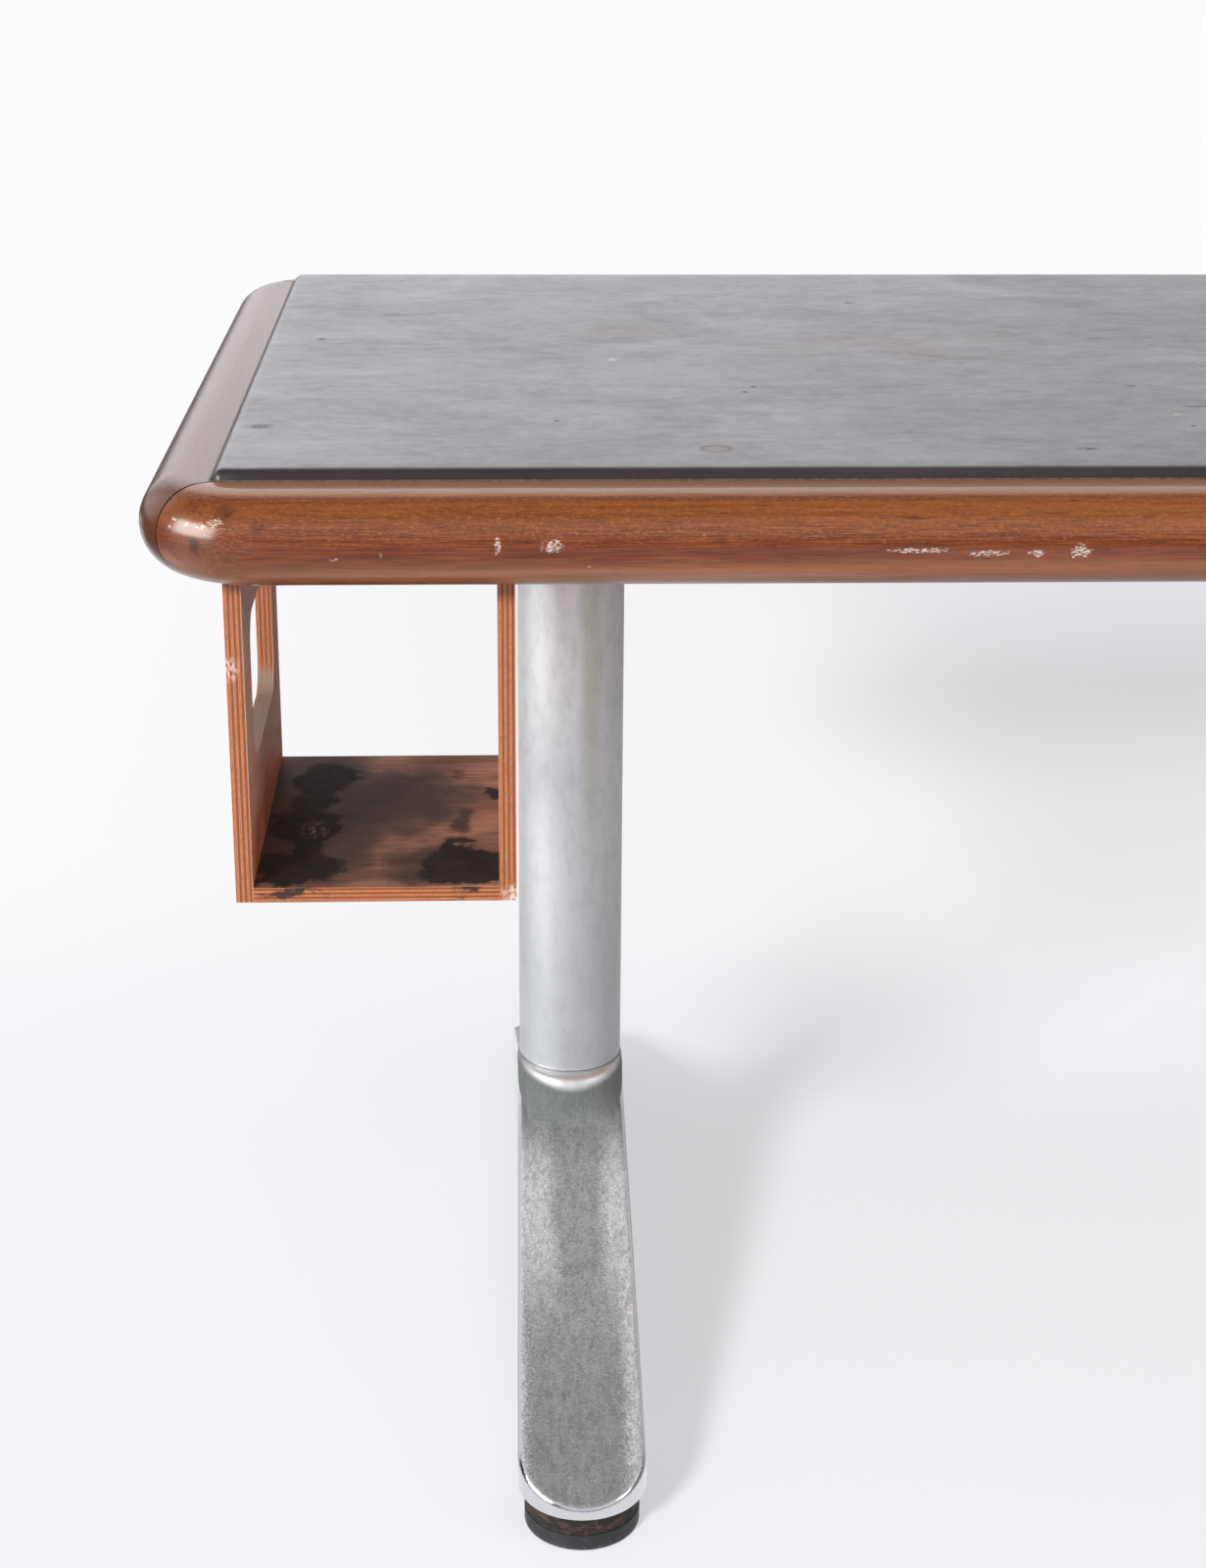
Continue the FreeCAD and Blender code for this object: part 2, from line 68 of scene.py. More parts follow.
# Leather top
leather_edge_radius = 0.007
leather_edge_segments = 7
leather_corner_radius = 0.007
leather_corner_segments = 6
leather_smooth_angle = math.radians(50)
leather_cell = 0.022
leather_wave = 0.0004
leather_wave_size = 0.16
raw_edge_height = 0.0011

# Plywood
panel_plies = 7
bottom_plies = 7
veneer_depth = 0.0005
sill_height = 0.077

# How far back over the nose a mark on the front rail reaches
rail_mark_depth = 0.08

# White scuffs on the front rail: place along it, height over its middle, half length, half height
rail_scuffs = (
    (-0.8755, 0.0075, 0.0016, 0.0024),
    (-0.8725, 0.0130, 0.0018, 0.0014),
    (-0.8650, 0.0110, 0.0036, 0.0016),
    (-0.8560, 0.0118, 0.0048, 0.0018),
    (-0.8470, 0.0140, 0.0056, 0.0024),
    (-0.682, 0.0020, 0.0022, 0.0062),
    (-0.650, 0.0010, 0.0070, 0.0042),
    (-0.433, -0.0020, 0.0200, 0.0018),
    (-0.392, -0.0040, 0.0140, 0.0020),
    (-0.3635, -0.0040, 0.0060, 0.0022),
    (-0.337, -0.0030, 0.0065, 0.0045),
)

# Dark knots on the front rail: place, height, half length, half height, darkness
rail_knots = (
    (-0.8600, 0.0003, 0.0030, 0.0056, 0.75),
    (-0.8420, 0.0190, 0.0050, 0.0040, 0.45),
    (-0.8220, 0.0120, 0.0040, 0.0040, 0.30),
    (-0.551, 0.0040, 0.0050, 0.0020, 0.35),
)

# Small pale scratches on the front rail: place, height, half length, half height
rail_scratches = (
    (-0.778, -0.0064, 0.0024, 0.0006),
    (-0.751, -0.0034, 0.0008, 0.0016),
    (-0.628, -0.0120, 0.0010, 0.0006),
    (-0.560, 0.0080, 0.0010, 0.0006),
    (-0.454, 0.0040, 0.0009, 0.0009),
)

# Marks on the leather: place across, place along, half width, half length
dark_leather_marks = (
    (-0.833, -0.234, 0.009, 0.008),
    (-0.812, 0.059, 0.004, 0.006),
    (-0.399, 0.210, 0.005, 0.005),
    (-0.315, -0.302, 0.008, 0.004),
    (-0.246, -0.114, 0.005, 0.004),
    (-0.215, -0.180, 0.012, 0.003),
)

# Reddened patches and pale specks on the leather, and the ring of a cup, in the same order
red_leather_marks = (
    (-0.396, 0.042, 0.16, 0.09),
    (-0.590, 0.101, 0.07, 0.06),
)
pale_leather_marks = (
    (-0.5992, -0.0198, 0.005, 0.006),
    (-0.235, -0.2047, 0.004, 0.003),
)
ring_leather_marks = (
    (-0.5464, -0.2999, 0.013, 0.012),
)

# Soot on the box's floor: place from its left, place from its front, half width, half length, darkness
soot_patches = (
    (0.032, 0.194, 0.021, 0.035, 0.9),
    (0.030, 0.150, 0.014, 0.020, 0.8),
    (0.024, 0.112, 0.022, 0.028, 1.0),
    (0.038, 0.096, 0.014, 0.022, 1.0),
    (0.030, 0.066, 0.016, 0.020, 0.8),
    (0.026, 0.033, 0.028, 0.030, 1.0),
    (0.132, 0.032, 0.026, 0.032, 1.0),
    (0.127, 0.060, 0.010, 0.024, 0.9),
    (0.131, 0.207, 0.005, 0.012, 0.5),
    (0.151, 0.168, 0.006, 0.012, 0.75),
)

# Smoke stain on the box's floor, partly painted shadow of its left panel and of the front rail, in the same
# order
smoke_and_shadow_patches = (
    (0.030, 0.120, 0.055, 0.130, 1.0),
    (0.075, 0.150, 0.060, 0.065, 0.9),
    (0.110, 0.165, 0.045, 0.030, 0.7),
    (0.132, 0.120, 0.008, 0.030, 0.8),
    (0.118, 0.036, 0.040, 0.040, 0.8),
)

# Pale flake in the soot, and drips over the board's front edge: place from its left, place from its
# front, depth under its face, then the half sizes across, along and up
flake_mark = (0.033, 0.101, 0.0, 0.014, 0.022, 0.02)
drip_marks = (
    (0.138, 0.0, 0.003, 0.014, 0.012, 0.010),
    (0.025, 0.0, 0.0, 0.032, 0.012, 0.006),
)

# Chalky bruises on the box's panels: how far from the panel's corner they lie, and their half sizes
left_chalk_in = 0.0008
left_chalk_down = 0.0584
left_chalk_reach = (0.009, 0.02, 0.011)
right_chalk_in = 0.001
right_chalk_up = 0.0035
right_chalk_reach = (0.012, 0.008, 0.010)

# Tube: the painted reflection of the wood, a yellow streak on its front, and the heights between which a
# painted sheen turns it whiter
tube_reflection_right = 0.014
tube_reflection_height = 0.565
tube_reflection_reach = (0.011, 0.06, 0.26)
tube_sheen_start = 0.26
tube_sheen_full = 0.52

# Cast foot: where the painted highlights along its edges and in its strips begin and are full, out from the
# arm's middle
painted_sheen_edge_start = 0.033
painted_sheen_edge_full = 0.045
painted_sheen_edge_right = 0.007
painted_sheen_strip_start = 0.013
painted_sheen_strip_full = 0.025
painted_sheen_strip_middle = 0.003

# Floor: its size, the part of it that keeps the shadows, and the width over which it turns white
floor_size = 90
stand_x = 0.50
stand_y = 0.80
stand_half_x = 1.10
stand_half_y = 1.40
stand_fade = 0.80

# Colours of the paper under the lamps, of its white near the camera and far off, and of the air
paper_colour = (0.86, 0.86, 0.89, 1.0)
near_white = (0.915, 0.910, 0.955, 1.0)
far_white = (0.970, 0.970, 0.985, 1.0)
sky_colour = (0.965, 0.955, 1.0, 1.0)
black = (0.0, 0.0, 0.0, 1.0)

# Even light from all round on matt surfaces
fill_strength = 0.42

# Lamps: name, place, aim, width and height, watts, whether they light matt surfaces and show in gloss
softboxes = (
    ("key_softbox", (-4.80, -7.15, 4.83), (-0.5, 0.0, 0.4), (1.4, 1.4), 960, True, False),
    ("right_softbox", (2.7, -2.2, 2.4), (-0.4, 0.0, 0.4), (1.2, 1.2), 28, True, True),
    ("left_softbox", (-3.58, -1.63, 1.53), (-0.88, -0.38, 0.73), (2.3, 1.4), 125, False, True),
)


def srgb(red, green, blue):
    """Linear colour of a shade given in the usual 0 to 255 display steps."""
    return tuple(linear(step / 255) for step in (red, green, blue)) + (1.0,)


def linear(shade):
    return ((shade + 0.055) / 1.055) ** 2.4 if shade > 0.04045 else shade / 12.92


class Socket:
    """One output in a finish's nodes; arithmetic on it adds Math nodes."""

    def __init__(self, tree, output=None):
        self.tree = tree
        self.output = output

    def node(self, kind, settings=None, inputs=None, output=0):
        """Add a node: its settings first, then the values or links of its sockets."""
        made = self.tree.nodes.new("ShaderNode" + kind)
        for name, value in (settings or {}).items():
            setattr(made, name, value)
        for name, value in (inputs or {}).items():
            if isinstance(value, Socket):
                self.tree.links.new(value.output, made.inputs[name])
            else:
                made.inputs[name].default_value = value
        return Socket(self.tree, made.outputs[output])

    def math(self, operation, *values):
        return self.node("Math", {"operation": operation}, dict(enumerate(values)))

    def __add__(self, other):
        return self.math("ADD", self, other)

    def __sub__(self, other):
        return self.math("SUBTRACT", self, other)

    def __rsub__(self, other):
        return self.math("SUBTRACT", other, self)

    def __mul__(self, other):
        return self.math("MULTIPLY", self, other)

    def __abs__(self):
        return self.math("ABSOLUTE", self)

    __radd__ = __add__
    __rmul__ = __mul__


def fade(value, start, end):
    """0 at start, 1 at end, eased between them."""
    ease = {"interpolation_type": "SMOOTHSTEP"}
    return value.node("MapRange", ease, {"Value": value, "From Min": start, "From Max": end})


def larger(first, second):
    return first.math("MAXIMUM", first, second)


def mixed(amount, under, over):
    """The under colour, covered by the over colour as far as the amount says."""
    return amount.node("Mix", {"data_type": "RGBA"}, {0: amount, 6: under, 7: over}, 2)


def axis(where, name):
    return where.node("SeparateXYZ", None, {"Vector": where}, name)


def stretched(where, x, y, z):
    """Pattern coordinates, with so many repeats to the metre along each axis."""
    return where.node("VectorMath", {"operation": "MULTIPLY"}, {0: where, 1: (x, y, z)})


def noise(where, detail, roughness=0.5, distortion=0.0):
    return where.node(
        "TexNoise", None,
        {"Vector": where, "Scale": 1.0, "Detail": detail, "Roughness": roughness, "Distortion": distortion},
    )


def cells(where, feature="F1"):
    """Distance to the nearest of many scattered points."""
    return where.node("TexVoronoi", {"feature": feature}, {"Vector": where, "Scale": 1.0}, "Distance")


def shaken(where, repeats, reach):
    """Coordinates pushed about by a noise, so that marks drawn on them get ragged outlines."""
    push = where.node(
        "TexNoise", None, {"Vector": where, "Scale": repeats, "Detail": 5.0, "Roughness": 0.65}, "Color")
    centred = where.node("VectorMath", {"operation": "SUBTRACT"}, {0: push, 1: (0.5, 0.5, 0.5)})
    scaled = where.node("VectorMath", {"operation": "SCALE"}, {0: centred, "Scale": reach})
    return where.node("VectorMath", {"operation": "ADD"}, {0: where, 1: scaled})


def spot(where, centre, reach):
    """Soft mark round a place: 1 in the middle, 0 from its reach on."""
    offset = where.node("VectorMath", {"operation": "SUBTRACT"}, {0: where, 1: centre})
    scaled = where.node("VectorMath", {"operation": "DIVIDE"}, {0: offset, 1: reach})
    distance = where.node("VectorMath", {"operation": "LENGTH"}, {0: scaled}, "Value")
    return fade(distance, 1.0, 0.25)


def new_finish(name):
    """A fresh material, and the object coordinates on which its pattern is drawn."""
    material = bpy.data.materials.new(name)
    material.use_nodes = True
    material.node_tree.nodes.clear()
    where = Socket(material.node_tree).node("TexCoord", output="Object")
    return material, where


def close_finish(material, sockets, relief, depth, strength):
    """Feed the surface shader, with a relief of the given depth."""
    root = Socket(material.node_tree)
    bump = root.node("Bump", None, {"Strength": strength, "Distance": depth, "Height": relief})
    join_surface(root, root.node("BsdfPrincipled", None, {**sockets, "Normal": bump}))
    return material


def join_surface(root, shader):
    target = root.tree.nodes.new("ShaderNodeOutputMaterial")
    root.tree.links.new(shader.output, target.inputs["Surface"])


def strongest(marks):
    """The largest of several masks at each place."""
    most = marks[0]
    for mark in marks[1:]:
        most = larger(most, mark)
    return most


def mitre_line(where):
    """Dark hairline where two rails meet, from the corner of the opening out over the nose."""
    past_end = abs(axis(where, "X")) - leather_high.x
    past_side = abs(axis(where, "Y")) - leather_high.y
    apart = abs(past_end * math.sin(mitre_angle) - past_side * math.cos(mitre_angle))
    upper = fade(axis(where, "Z"), nose_middle + 0.006, wood_top - 0.003)
    return fade(apart, mitre_line_start, mitre_line_full) * (0.5 + 0.5 * upper)


def leather_gap(where):
    """Painted shadow: a dark line on the rails along the outline of the leather, where the gap beside it is
    shaded.
    """
    past_end = abs(axis(where, "X")) - leather_high.x
    past_side = abs(axis(where, "Y")) - leather_high.y
    return fade(larger(past_end, past_side), leather_line_start, leather_line_full)


def rail_marks(where, places, widen):
    """Soft spots on the nose of the front rail, each stretched a little past its stated size."""
    return [
        spot(where, (along, rail_low.y, nose_middle + level),
             (half_long * widen, rail_mark_depth, half_high * widen))
        for along, level, half_long, half_high in places
    ]


def worn_nose(where, colour, rough, relief):
    """The front rail's own knots, scuffs down to the bare wood and small scratches."""
    knots = rail_marks(where, [knot[:4] for knot in rail_knots], 1.5)
    knots = [mark * knot[4] for mark, knot in zip(knots, rail_knots)]
    colour = mixed(strongest(knots), colour, srgb(38, 17, 9))
    torn = noise(stretched(where, 380, 420, 1300), 5.0, 0.7)
    ragged = shaken(where, 160, 0.005)
    scuffs = strongest(rail_marks(ragged, rail_scuffs, 2.0))
    worn = fade(scuffs * 0.50 + torn * 1.3, 1.10, 1.24)
    scratches = strongest(rail_marks(ragged, rail_scratches, 1.6))
    worn = larger(worn, scratches * fade(torn, 0.44, 0.60) * 0.7)
    colour = mixed(worn * 0.8, colour, srgb(216, 204, 194))
    return colour, rough + 0.25 * worn, relief - worn * 0.8


def hardwood(name, turn, shade, gap, worn_front=False):
    """Varnished reddish hardwood; the grain runs along X, or along Y after a quarter turn.

    The shade darkens it, partly as darker wood and partly as painted shade, and holds back its dust and
    painted light; the gap says how dark the painted shadow line along the leather is.
    """
    material, where = new_finish(name)
    grain = where.node("Mapping", None, {"Vector": where, "Rotation": (0, 0, turn)})
    height = axis(where, "Z")
    warp = noise(stretched(grain, 1.4, 7, 7), 3.0)
    bands = noise(stretched(grain, 0.9, 34, 34), 5.0, 0.55, 0.8)
    streaks = noise(stretched(grain, 3.0, 170, 170), 4.0, 0.6, 0.4)
    fibres = noise(stretched(grain, 22, 1100, 1100), 3.0, 0.65)
    pores = fade(noise(stretched(grain, 70, 1300, 1300), 2.0, 0.6), 0.56, 0.68)
    flecks = fade(noise(stretched(grain, 300, 900, 900), 3.0, 0.65), 0.46, 0.70)
    colour = mixed(fade(bands, 0.32, 0.68), srgb(84, 40, 19), srgb(125, 70, 35))
    # Painted shade: a darker band along the middle of each rail's nose
    painted_shade_middle = fade(abs(height - nose_middle), 0.015, 0.004)
    colour = mixed(painted_shade_middle * 0.88, colour, srgb(90, 33, 5))
    colour = mixed(fade(streaks, 0.44, 0.70) * 0.6, colour, srgb(70, 32, 16))
    colour = mixed(fade(warp, 0.45, 0.75) * 0.35, colour, srgb(138, 80, 49))
    gold = fade(height, nose_middle - 0.006, nose_middle + 0.012) * flecks
    colour = mixed(gold * 0.5, colour, srgb(162, 97, 42))
    colour = mixed(pores * 0.65, colour, srgb(50, 22, 11))
    colour = mixed(fade(fibres, 0.36, 0.72) * 0.34, colour, srgb(162, 93, 48))
    colour = mixed(warp * 0.1 + shade, colour, srgb(44, 18, 9))
    # Dust and painted light are held back on the darker rails
    dust_and_light_share = 1.0 - 1.5 * shade
    # Dust and painted sheen: the rail's top is paler, partly from dust and partly as a painted glossy sheen
    dust_and_sheen_above = fade(height, wood_top - 0.003, wood_top - 0.0007) * dust_and_light_share
    colour = mixed(dust_and_sheen_above * (0.12 + 0.40 * fibres), colour, srgb(196, 150, 116))
    # Painted light: the nose is paler below its middle, as if lit from the floor
    painted_floor_light_below = fade(height, nose_middle - 0.004, nose_middle - 0.018) * dust_and_light_share
    colour = mixed(painted_floor_light_below * 0.11, colour, srgb(196, 146, 114))
    rough = 0.42 + 0.16 * streaks + 0.10 * pores
    relief = fibres * 0.25 - pores * 0.6
    if worn_front:
        colour, rough, relief = worn_nose(where, colour, rough, relief)
    # Dark mitre joints, and the painted shadow in the gap along the leather
    joint_and_gap_shadow = larger(mitre_line(where), leather_gap(where) * gap)
    colour = mixed(joint_and_gap_shadow, colour, srgb(26, 14, 9))
    return close_finish(
        material,
        {"Base Color": colour, "Roughness": rough, "Specular IOR Level": 0.1,
         "Coat Weight": 1.0 - joint_and_gap_shadow, "Coat Roughness": 0.2},
        relief, depth=0.00012, strength=0.6,
    )


def leather_marks(where, places, widen=1.0, half_high=0.02):
    """The strongest of several soft spots on the leather's face, stretched past their stated size."""
    return strongest([
        spot(where, (across, along, leather_high.z), (half_wide * widen, half_long * widen, half_high))
        for across, along, half_wide, half_long in places
    ])


def worn_leather(name):
    """Dark brown desk leather, polished by use, lightly creased along its length."""
    material, where = new_finish(name)
    height = axis(where, "Z")
    clouds = noise(stretched(where, 3.0, 5.0, 3.0), 4.0, 0.6)
    drag = noise(stretched(where, 14, 40, 10), 5.0, 0.6, 0.8)
    grain = cells(stretched(where, 820, 820, 820), "SMOOTH_F1")
    fine = noise(stretched(where, 260, 520, 420), 3.0, 0.6)
    colour = mixed(fade(clouds, 0.35, 0.7), srgb(43, 35, 38), srgb(57, 47, 50))
    red = leather_marks(where, red_leather_marks, half_high=0.1)
    colour = mixed(red * fade(drag, 0.35, 0.7) * 0.5, colour, srgb(92, 60, 58))
    pits = fade(cells(stretched(where, 26, 26, 26)), 0.07, 0.03) * fade(clouds, 0.5, 0.56)
    marks = leather_marks(where, dark_leather_marks, widen=1.3)
    dull = larger(pits, marks * fade(fine, 0.35, 0.55) * 0.7)
    colour = mixed(dull, colour, srgb(22, 18, 18))
    pale = leather_marks(where, pale_leather_marks)
    colour = mixed(pale, colour, srgb(186, 182, 176))
    ring = fade(abs(leather_marks(where, ring_leather_marks) - 0.4), 0.38, 0.12)
    colour = mixed(ring, colour, srgb(92, 74, 56))
    raw = fade(height, wood_top + raw_edge_height, wood_top + raw_edge_height * 0.4)
    colour = mixed(raw * (0.45 + 0.4 * fade(fine, 0.40, 0.60)), colour, srgb(160, 132, 108))
    wisps = noise(stretched(where, 6, 9, 10), 6.0, 0.62, 1.0) * 1.3
    wisps = wisps + noise(stretched(where, 70, 110, 80), 5.0, 0.65, 0.6) * 1.1 - 0.42
    roll = fade(height, leather_high.z - 0.0012, leather_high.z - 0.0035)
    corner = fade(abs(axis(where, "X")), leather_high.x - 0.020, leather_high.x - 0.008)
    # Painted shade: the rolled front edge of the leather is darkened
    colour = mixed(roll * 0.55, colour, srgb(34, 24, 23))
    rough = 0.28 + 0.08 * fade(drag, 0.30, 0.72) + 0.06 * clouds + 0.3 * dull + 0.2 * raw + 0.35 * roll
    matt = larger(larger(dull, ring), larger(pale, raw)) * 0.85
    gloss = wisps * (1.0 - matt) * (1.0 - roll * (0.95 - 0.55 * corner))
    relief = grain * 0.3 + drag * 0.2 + fine * 0.3 - dull * 1.2
    return close_finish(
        material,
        {"Base Color": colour, "Roughness": rough, "Specular IOR Level": 0.5,
         "Coat Weight": gloss, "Coat Roughness": 0.3, "Coat IOR": 1.55},
        relief, depth=0.0002, strength=0.4,
    )


def plywood(name, across, low, high, plies, face_colour, streak_colour, face_grain):
    """Solid stack of veneers: stripes show on every cut edge, the outer veneer on both faces.

    Gives the material, its coordinates, the edge's colour, the mask of the faces, their colour and
    the fibres.
    """
    material, where = new_finish(name)
    thickness = high - low
    level = axis(where, across)
    wobble = noise(stretched(where, 14, 14, 14), 2.0) - 0.5
    layer = (level - low) * (plies / thickness) + wobble * 0.16
    saw = layer.math("FRACT", layer * 0.5)
    stripe = fade(abs(saw - 0.5), 0.20, 0.30)
    glue = fade(abs(layer.math("FRACT", layer) - 0.5), 0.40, 0.47)
    fibre = noise(stretched(where, *face_grain), 3.0, 0.6)
    tick = noise(stretched(where, 900, 900, 900), 2.0)
    edge = mixed(stripe, srgb(182, 112, 69), srgb(124, 71, 44))
    edge = mixed(fade(fibre, 0.42, 0.72) * 0.45, edge, srgb(146, 82, 46))
    edge = mixed(fade(tick, 0.52, 0.70) * 0.35, edge, srgb(92, 48, 28))
    edge = mixed(glue * 0.6, edge, srgb(64, 34, 22))
    middle = (low + high) / 2
    face = fade(abs(level - middle), thickness / 2 - veneer_depth, thickness / 2 - veneer_depth * 0.4)
    streak = noise(stretched(where, *[repeat * 0.25 for repeat in face_grain]), 5.0, 0.65)
    dirt = noise(stretched(where, 16, 16, 16), 5.0, 0.6)
    skin = mixed(fade(streak, 0.35, 0.70), face_colour, streak_colour)
    skin = mixed(fade(dirt, 0.45, 0.72) * 0.5, skin, srgb(92, 80, 74))
    skin = mixed(fade(fibre, 0.45, 0.75) * 0.4, skin, srgb(70, 44, 34))
    return material, where, edge, face, skin, fibre


def panel_wood(name, node, inner_face, chalk_place, chalk_reach):
    """Side panel of the carrier box, with a weathered face and striped edges."""
    low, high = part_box(node)
    material, where, edge, face, skin, fibre = plywood(
        name, "X", low.x, high.x, panel_plies, srgb(206, 120, 80), srgb(184, 110, 74), (260, 30, 260))
    along = axis(where, "Y")
    height = axis(where, "Z")
    grime = fade(height, low.z + 0.11, low.z + 0.02) * noise(stretched(where, 24, 24, 24), 5.0, 0.65)
    inner = fade(abs(axis(where, "X") - inner_face), (high.x - low.x) / 2, 0.0)
    sill = fade(height, low.z + sill_height + 0.020, low.z + sill_height + 0.006)
    sill = sill * fade(along, low.y + 0.030, low.y + 0.050) * fade(along, high.y, high.y - 0.02)
    edge = mixed(sill * (0.6 + 0.5 * fibre), edge, srgb(134, 120, 108))
    skin = mixed(fade(grime, 0.34, 0.66) * 0.5, skin, srgb(70, 44, 34))
    haze = inner * fade(height, low.z + 0.030, low.z + 0.065)
    haze = haze * (0.45 + 0.5 * fade(noise(stretched(where, 30, 12, 30), 5.0, 0.6), 0.35, 0.65))
    skin = mixed(haze, skin, srgb(166, 136, 122))
    colour = mixed(face, edge, skin)
    chalk = spot(where, chalk_place, chalk_reach)
    chalk = chalk * fade(noise(stretched(where, 700, 700, 260), 3.0), 0.40, 0.60)
    colour = mixed(chalk * 0.65, colour, srgb(222, 208, 198))
    rough = 0.5 + 0.2 * fibre + 0.1 * face
    return close_finish(
        material, {"Base Color": colour, "Roughness": rough}, fibre, depth=0.00025, strength=0.5)


def board_spot(where, low, high, across, along, under, half_wide, half_long, half_high):
    """Soft spot on the bottom board, placed from the left, front and upper sides of its box."""
    return spot(where, (low.x + across, low.y + along, high.z - under), (half_wide, half_long, half_high))


def box_floor_wood(name, node):
    """Bottom board of the carrier box, scorched and sooted where things stood, its smoke stain partly
    painted shadow.
    """
    low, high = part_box(node)
    material, where, edge, face, skin, fibre = plywood(
        name, "Z", low.z, high.z, bottom_plies, srgb(172, 120, 98), srgb(132, 86, 62), (40, 300, 300))
    blot = noise(stretched(where, 60, 60, 60), 6.0, 0.65)
    ragged = shaken(where, 34, 0.042)
    soot, smoke_and_shadow = [
        strongest([
            board_spot(ragged, low, high, across, along, 0.0, half_wide * 1.6, half_long * 1.6, 0.05) * dark
            for across, along, half_wide, half_long, dark in patches
        ])
        for patches in (soot_patches, smoke_and_shadow_patches)
    ]
    burnt = fade(soot * 0.9 + (blot - 0.5) * 0.9, 0.30, 0.60)
    # Smoke stain, partly painted shadow of the left panel and the front rail
    stained_and_shaded = fade(smoke_and_shadow + (blot - 0.5) * 0.6, -0.05, 0.85)
    skin = mixed(stained_and_shaded * 0.95, skin, srgb(54, 34, 28))
    ash = noise(stretched(where, 900, 900, 900), 2.0)
    char = mixed(fade(blot, 0.40, 0.62), srgb(12, 11, 12), srgb(34, 29, 28))
    char = mixed(fade(ash, 0.62, 0.76) * 0.4, char, srgb(104, 98, 96))
    skin = mixed(burnt * 0.95, skin, char)
    flake = board_spot(where, low, high, *flake_mark)
    flake = flake * fade(noise(stretched(where, 520, 130, 420), 5.0, 0.75), 0.46, 0.68)
    skin = mixed(flake * 0.8, skin, srgb(186, 184, 186))
    drip = strongest([board_spot(ragged, low, high, *mark) for mark in drip_marks])
    edge = mixed(fade(drip * 0.8 + (blot - 0.5) * 0.8, 0.15, 0.75) * 0.9, edge, srgb(34, 30, 30))
    colour = mixed(face, edge, skin)
    rough = 0.45 + 0.2 * fibre + 0.15 * burnt
    return close_finish(
        material, {"Base Color": colour, "Roughness": rough, "Specular IOR Level": 0.35},
        fibre + blot * 0.5, depth=0.00025, strength=0.5,
    )


def raw_board(name):
    """Unfinished board under the top, seen only from below."""
    material, where = new_finish(name)
    streak = noise(stretched(where, 2.2, 46, 46), 5.0, 0.6, 0.5)
    fibre = noise(stretched(where, 30, 900, 900), 3.0)
    colour = mixed(fade(streak, 0.3, 0.7), srgb(150, 108, 72), srgb(184, 142, 100))
    colour = mixed(fade(fibre, 0.5, 0.75) * 0.5, colour, srgb(118, 80, 52))
    return close_finish(
        material, {"Base Color": colour, "Roughness": 0.55 + 0.2 * fibre}, fibre, depth=0.0002, strength=0.4)


def satin_tube(name):
    """Satin-plated tube with fine lengthwise polishing marks, a faint painted reflection of the wood as a
    yellow streak, and a painted sheen towards the top.
    """
    material, where = new_finish(name)
    brushed = noise(stretched(where, 900, 900, 9), 3.0, 0.6)
    cloud = noise(stretched(where, 9, 9, 3.5), 4.0, 0.6)
    painted_wood_reflection = spot(
        where, (column_x + tube_reflection_right, column_low.y, tube_reflection_height), tube_reflection_reach) * cloud
    specks = fade(noise(stretched(where, 420, 420, 420), 2.0), 0.70, 0.80)
    mottle = noise(stretched(where, 110, 110, 45), 5.0, 0.65)
    colour = mixed(fade(cloud, 0.3, 0.7), srgb(209, 212, 213), srgb(223, 225, 226))
    # Painted sheen: the tube turns whiter towards the top
    upper = fade(axis(where, "Z"), tube_sheen_start, tube_sheen_full)
    colour = mixed(upper * 0.95, colour, srgb(251, 252, 253))
    colour = mixed(fade(mottle, 0.42, 0.68) * 0.22, colour, srgb(190, 192, 191))
    # Painted reflection: a yellowish streak standing for the wood mirrored in the tube
    colour = mixed(painted_wood_reflection * 0.55, colour, srgb(198, 190, 160))
    colour = mixed(specks * 0.3, colour, srgb(130, 132, 128))
    rough = 0.50 + 0.10 * brushed + 0.08 * cloud + 0.15 * specks
    return close_finish(
        material, {"Base Color": colour, "Metallic": 1.0, "Roughness": rough},
        brushed, depth=0.00004, strength=0.5,
    )


def arm_plane():
    """Rise of the foot's flat upper face towards the column, and its height under the column's axis."""
    foot = nodes["left_foot"].data
    steep = [face for face in foot.polygons if face.normal.z > 0.85 and face.normal.y < -0.2]
    face = max(steep, key=lambda polygon: polygon.area)
    slope = -face.normal.y / face.normal.z
    middle = face.center
    return slope, middle.z - slope * middle.y


